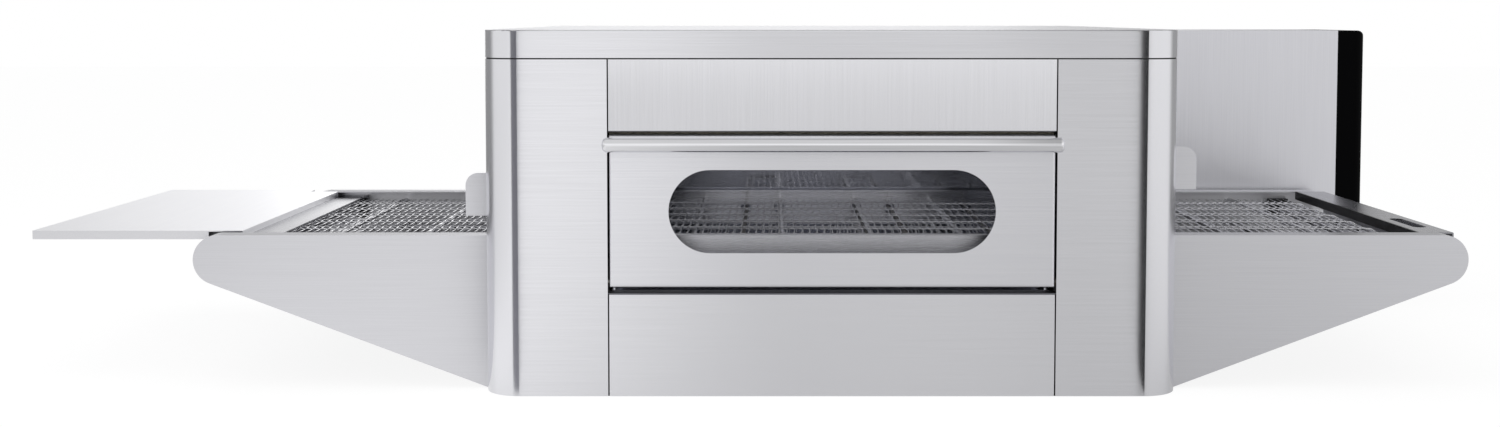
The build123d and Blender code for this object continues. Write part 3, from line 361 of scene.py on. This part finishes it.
def tube_mesh(name, centres, normals, radius, sides):
    """Round tubes along many paths at once, shapes (paths, steps, 3), with a normal at each step.

    The section at each step is a circle in the plane square to the path: the path's own direction
    crossed with the normal gives the second axis.
    """
    ahead = np.gradient(centres, axis=1)
    ahead /= np.linalg.norm(ahead, axis=-1, keepdims=True)
    second = np.cross(ahead, normals)
    second /= np.linalg.norm(second, axis=-1, keepdims=True)
    first = np.cross(second, ahead)
    angle = np.arange(sides) * 2 * math.pi / sides
    ring = (np.cos(angle)[:, None] * first[..., None, :]
            + np.sin(angle)[:, None] * second[..., None, :])
    points = centres[..., None, :] + radius * ring
    paths, steps = centres.shape[:2]
    index = np.arange(paths * steps * sides).reshape(paths, steps, sides)
    near, far = index[:, :-1], index[:, 1:]
    quads = np.stack([near, np.roll(near, -1, 2), np.roll(far, -1, 2), far], axis=-1).reshape(-1, 4)
    caps = np.concatenate([index[:, 0, ::-1], index[:, -1]])
    mesh = bpy.data.meshes.new(name)
    mesh.vertices.add(points.size // 3)
    mesh.vertices.foreach_set("co", points.ravel())
    loops = np.concatenate([quads.ravel(), caps.ravel()])
    mesh.loops.add(len(loops))
    mesh.loops.foreach_set("vertex_index", loops)
    mesh.polygons.add(len(quads) + len(caps))
    starts = np.concatenate([np.arange(len(quads)) * 4,
                             len(quads) * 4 + np.arange(len(caps)) * sides])
    mesh.polygons.foreach_set("loop_start", starts)
    mesh.update(calc_edges=True)
    mesh.validate()
    mesh.polygons.foreach_set("use_smooth", [True] * len(mesh.polygons))
    return mesh


def new_piece(name, mesh, material, body, slot, *replaced):
    """Puts a finished mesh into the scene as a piece that rides on a body."""
    piece = bpy.data.objects.new(name, mesh)
    scene.collection.objects.link(piece)
    mesh.materials.append(material)
    if replaced:
        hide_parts(*replaced)
    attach(piece, body)
    return piece


def strand_path():
    """One strand's places across the belt, and at each its shift along the belt and its rise.

    The strand is drawn at both ends and at a few steps through each joint. A span lies half a pitch
    to one side, by turns, and slants a little. A joint crosses to the other side on half a sine
    wave, and rises or dips by one minus that wave's square, so most in its middle.
    """
    span = (belt_high.y - belt_low.y) / BELT_SPANS
    joint_ys = belt_low.y + span * np.arange(1, BELT_SPANS)
    joint_steps = np.linspace(-JOINT_HALF, JOINT_HALF, STEPS_IN_JOINT)
    places = np.concatenate([[belt_low.y + WIRE_R], (joint_ys[:, None] + joint_steps).ravel(),
                             [belt_high.y - WIRE_R]])
    which = np.clip(((places - belt_low.y) / span).astype(int), 0, BELT_SPANS - 1)
    side_of_span = np.where(which % 2 == 0, 1.0, -1.0)
    part_of_span = (places - belt_low.y) / span - which
    flat_shift = side_of_span * (pitch / 2 + SPAN_SLANT * (2 * part_of_span - 1))
    nearest = np.clip(np.rint((places - belt_low.y) / span), 1, BELT_SPANS - 1)
    from_joint = places - (belt_low.y + span * nearest)
    in_joint = np.abs(from_joint) <= JOINT_HALF + JOINT_ROUNDING
    side_before = np.where(nearest % 2 == 1, 1.0, -1.0)
    wave = np.sin(np.clip(from_joint / JOINT_HALF, -1, 1) * math.pi / 2)
    joint_shift = -side_before * (pitch / 2 + SPAN_SLANT * 0.5 * (1 - wave)) * wave
    return (places, np.where(in_joint, joint_shift, flat_shift),
            np.where(in_joint, JOINT_RISE * side_before * (1 - wave**2), 0.0))


belt_wire = finish("bright_304_spring_wire", "F4F4F7", "DCDCE1", 1.0, 0.12, 0.04, (3, 3, 3), 0.002)
wire_y, wire_shift, wire_rise = strand_path()
for half, first_strand in enumerate((0, strand_count // 2)):
    strands = first_strand + np.arange(strand_count // 2)
    along = strands[:, None] * pitch + wire_shift[None, :]
    centres, normals = belt_point(along, wire_y[None, :] + 0 * along, wire_rise[None, :] + 0 * along)
    new_piece(f"belt_wires_{half + 1}", tube_mesh(f"belt_wires_{half + 1}", centres, normals, WIRE_R,
                                                  WIRE_SIDES), belt_wire, "oven", "belt_wire",
              "conveyor_belt")

# Shafts, toothed wheels, bearing blocks and support rods: turned and milled stainless.
dress(finish("turned_304_shafts", "C9C9CC", "B2B2B6", 1.0, 0.22, 0.05, (1, 60, 1)), "idler_shaft",
      "drive_shaft", "belt_supports", "motor_sprocket")
dress(finish("milled_304_wheels", "BEBEC2", "A2A2A8", 1.0, 0.30, 0.06, (2, 2, 2)), "idler_wheels",
      "drive_wheels")
dress(finish("acetal_bearing_blocks", "2A2A2C", "202022", 0.0, 0.45, 0.06, (1, 1, 1)),
      "shaft_bearings")

# Covers, shelf and crumb trays: folded stainless, the shelf polished until it looks almost white.
dress(brushed("brushed_304_covers", "A8A8AD", "A1A1A6", "Y", 0.24), "entry_cover", "exit_cover")
dress(brushed("brushed_304_shelf", "FAFAFD", "F4F4F8", "Y", 0.30), "shelf")
# The crumb trays are near black to stand in for the shade under the belt, so its gaps look dark:
# painted shade.
dress(finish("crumb_trays_painted_shade", "141518", "0C0D0F", 1.0, 0.34, 0.08, (30, 30, 30)),
      "left_crumb_tray", "right_crumb_tray")
# The exit bar is near black to stand in for the shade on the inner face of the exit cover beside the
# belt: painted shade.
dress(finish("exit_bar_painted_shade_black", "0C0C0D", "060607", 0.0, 0.35, 0.05, (2, 60, 2), 0.01,
             specular_ior_level=0.2), "exit_bar")

# Control box: a stainless housing with a moulded black bezel and face, a glass display, a green
# start button and a red emergency stop.
dress(brushed("brushed_304_box", "E4E4E9", "DEDEE3", "Z", 0.40, 0.4), "box_shell")
face_plastic = finish("gloss_black_abs", "040405", "020203", 0.0, 0.26, 0.03, (0.6, 0.6, 0.6), 0.002,
                      specular_ior_level=0.03)
dress(face_plastic, "control_bezel", "control_face")
dress(finish("display_glass_black", "06070A", "040507", 0.0, 0.06, 0.01, (40, 40, 40), 0.0,
             coat_weight=0.6, coat_roughness=0.03), "display_glass")
dress(finish("green_polycarbonate", "1F9A4C", "188040", 0.0, 0.30, 0.04, (1, 1, 1)), "power_button")
dress(finish("red_polycarbonate", "C3201E", "A81A18", 0.0, 0.30, 0.04, (1, 1, 1)), "emergency_stop")

# Drive and electrics inside the box, and the fan and gland in its rear wall.
dress(finish("oiled_chain_steel", "4A4642", "302E2B", 1.0, 0.40, 0.10, (2, 2, 2)), "drive_chain")
dress(finish("zinc_plated_bracket", "C8C6B8", "AFAD9E", 1.0, 0.36, 0.08, (8, 8, 8)), "motor_bracket")
dress(finish("painted_aluminium_motor", "3A4450", "2E3742", 0.0, 0.45, 0.08, (2, 2, 2), 0.06),
      "gear_motor")
dress(finish("grey_polyamide", "B9BBBD", "A9ABAD", 0.0, 0.50, 0.06, (1, 1, 1)), "contactors")
dress(finish("green_circuit_board", "1B6B3C", "124E2B", 0.0, 0.35, 0.08, (3, 3, 3)), "control_board")
dress(finish("black_polyamide_fan", "1C1C1E", "141416", 0.0, 0.48, 0.06, (1, 1, 1)), "fan_housing",
      "fan_rotor")
